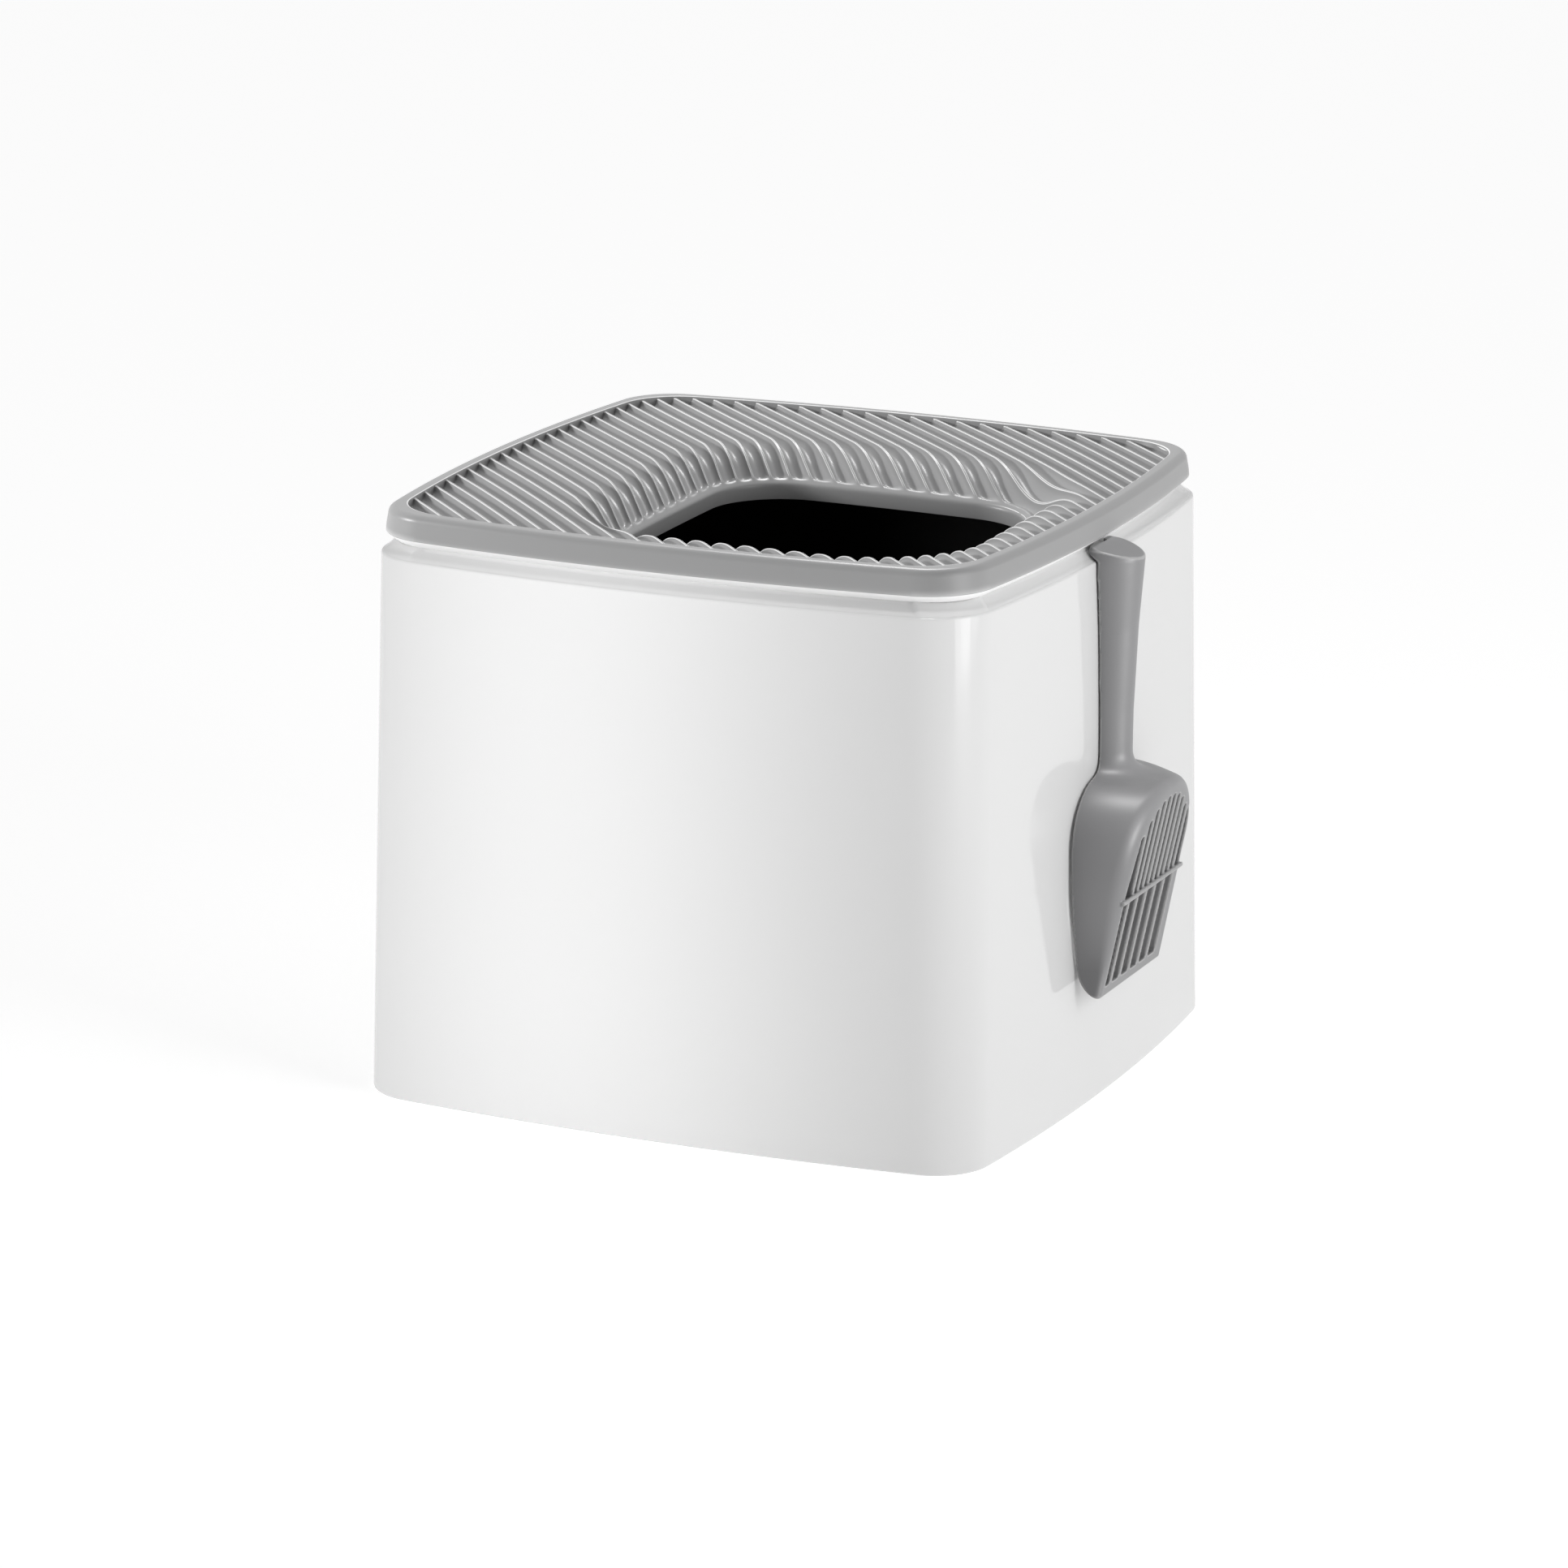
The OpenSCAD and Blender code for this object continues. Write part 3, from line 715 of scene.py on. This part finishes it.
verts, faces = scoop_mesh()
make("scoop_body", verts, faces, DARK, "scoop", ["scoop"], 60.0)

# ------------------------------------------------------------------ floor, light, camera

DOME_LOW, DOME_HIGH = 0.66, 0.58     # strength of the dome at the horizon and overhead
DIM_TOWARDS = (0.50, -0.82, 0.27)    # the dome is dim here, so that the glossy corner stays grey
DIM_FROM, DIM_TO, DIM_LEFT = 0.4, 0.9, 0.05
FLOOR_HALF, FLOOR_GLOW = 30, 0.50

floor = bpy.data.meshes.new("floor")
corners = [(x * FLOOR_HALF, y * FLOOR_HALF, 0) for x, y in ((-1, -1), (1, -1), (1, 1), (-1, 1))]
floor.from_pydata(corners, [], [(0, 1, 2, 3)])
floor_obj = bpy.data.objects.new("floor", floor)
bpy.context.scene.collection.objects.link(floor_obj)
floor_mat = bpy.data.materials.new("pale_floor")
floor_mat.use_nodes = True
floor_bsdf = floor_mat.node_tree.nodes["Principled BSDF"]
floor_bsdf.inputs["Base Color"].default_value = (0.95, 0.95, 0.95, 1)
floor_bsdf.inputs["Specular IOR Level"].default_value = 0.0
floor_bsdf.inputs["Emission Color"].default_value = (1, 1, 1, 1)
floor_bsdf.inputs["Emission Strength"].default_value = FLOOR_GLOW
floor.materials.append(floor_mat)


def studio_world():
    """White dome, a little brighter at the horizon, and dim in front of the box's near corner."""
    world = bpy.data.worlds.new("studio")
    bpy.context.scene.world = world
    world.use_nodes = True
    nt = world.node_tree
    nt.nodes["Background"].inputs["Color"].default_value = (1, 1, 1, 1)
    coord = nt.nodes.new("ShaderNodeTexCoord")
    split = nt.nodes.new("ShaderNodeSeparateXYZ")
    nt.links.new(coord.outputs["Generated"], split.inputs["Vector"])
    rise = nt.nodes.new("ShaderNodeMapRange")
    rise.interpolation_type = "SMOOTHSTEP"
    rise.inputs["From Min"].default_value = 0.0
    rise.inputs["From Max"].default_value = 1.0
    rise.inputs["To Min"].default_value = DOME_LOW
    rise.inputs["To Max"].default_value = DOME_HIGH
    nt.links.new(split.outputs["Z"], rise.inputs["Value"])
    facing = nt.nodes.new("ShaderNodeVectorMath")
    facing.operation = "DOT_PRODUCT"
    facing.inputs[1].default_value = DIM_TOWARDS
    nt.links.new(coord.outputs["Generated"], facing.inputs[0])
    dim = nt.nodes.new("ShaderNodeMapRange")
    dim.interpolation_type = "SMOOTHSTEP"
    dim.inputs["From Min"].default_value = DIM_FROM
    dim.inputs["From Max"].default_value = DIM_TO
    dim.inputs["To Min"].default_value = 1.0
    dim.inputs["To Max"].default_value = DIM_LEFT
    nt.links.new(facing.outputs["Value"], dim.inputs["Value"])
    level = nt.nodes.new("ShaderNodeMath")
    level.operation = "MULTIPLY"
    nt.links.new(rise.outputs["Result"], level.inputs[0])
    nt.links.new(dim.outputs["Result"], level.inputs[1])
    nt.links.new(level.outputs["Value"], nt.nodes["Background"].inputs["Strength"])


def area_light(name, where, target, size, power):
    """Rectangular light, aimed at target and unseen by the camera."""
    data = bpy.data.lights.new(name, "AREA")
    data.shape = "RECTANGLE"
    data.size, data.size_y = size
    data.energy = power
    obj = bpy.data.objects.new(name, data)
    bpy.context.scene.collection.objects.link(obj)
    obj.location = where
    obj.rotation_mode = "QUATERNION"
    obj.rotation_quaternion = (Vector(target) - Vector(where)).to_track_quat("-Z", "Y")
    obj.visible_camera = False
    return obj


def lights_only(light, pieces):
    """Keeps a light off everything but the named pieces."""
    group = bpy.data.collections.new(light.name + "_receivers")
    for name in pieces:
        group.objects.link(bpy.data.objects[name])
    light.light_linking.receiver_collection = group


studio_world()
TUB = ["tub_shell", "tub_inside"]
LID = ["lid_top", "lid_rim"]
SCOOP = ["scoop_body"]
front = area_light("front_softbox", (-0.30, -0.90, 0.33), (-0.068, -0.22, 0.215), (0.3, 0.9), 0.72)
front.data.spread = math.radians(36)
front.visible_glossy = False
lights_only(front, TUB)
area_light("right_softbox", (1.5, -0.5, 0.6), (0.2, 0, 0.2), (0.7, 1.3), 8.0)
lights_only(area_light("right_wall_softbox", (1.3, -0.2, 0.5), (0.2, 0, 0.2), (0.7, 0.9), 3.0), TUB)
lights_only(area_light("tub_rim_light", (0.25, -0.48, 2.0), (0.1, -0.1, 0.3), (0.3, 0.3), 8.0), TUB)
lights_only(area_light("lid_key", (-2.1, -1.15, 1.05), (0, 0, 0.37), (0.3, 0.3), 34.0), LID)
lights_only(area_light("lid_top_light", (-0.4, 0.9, 1.9), (0, 0, 0.37), (0.5, 0.5), 18.0), LID)
lights_only(area_light("scoop_key", (1.6, -0.2, 0.25), (0.2, 0, 0.2), (0.4, 0.4), 12.0), SCOOP)
lights_only(area_light("scoop_top_light", (0.55, 0.0, 2.1), (0.22, 0, 0.3), (0.4, 0.4), 26.0), SCOOP)

bpy.context.scene.view_settings.view_transform = "Standard"

cam_data = bpy.data.cameras.new("camera")
cam = bpy.data.objects.new("camera", cam_data)
bpy.context.scene.collection.objects.link(cam)
bpy.context.scene.camera = cam
CAM_SIDE, CAM_AIM_Z, CAM_DISTANCE = -0.026853, 0.19624, 4.35397
LENS, SENSOR = 156.50496894, 36.0
SHIFT = 0.0207039337              # the view is moved this share of the frame right and down
CAM_AZ, CAM_EL, CAM_ROLL = math.radians(24.296), math.radians(15.074), math.radians(0.169)
back = Vector((math.sin(CAM_AZ) * math.cos(CAM_EL), -math.cos(CAM_AZ) * math.cos(CAM_EL), math.sin(CAM_EL)))
right = Vector((math.cos(CAM_AZ), math.sin(CAM_AZ), 0))
up = back.cross(right)
right2 = right * math.cos(CAM_ROLL) + up * math.sin(CAM_ROLL)
up2 = up * math.cos(CAM_ROLL) - right * math.sin(CAM_ROLL)
place = right * CAM_SIDE + Vector((0, 0, CAM_AIM_Z)) + back * CAM_DISTANCE
cam.matrix_world = Matrix((
    (right2.x, up2.x, back.x, place.x),
    (right2.y, up2.y, back.y, place.y),
    (right2.z, up2.z, back.z, place.z),
    (0, 0, 0, 1),
))
cam_data.sensor_width = SENSOR
cam_data.lens = LENS
cam_data.shift_x = SHIFT
cam_data.shift_y = -SHIFT
cam_data.clip_end = 100
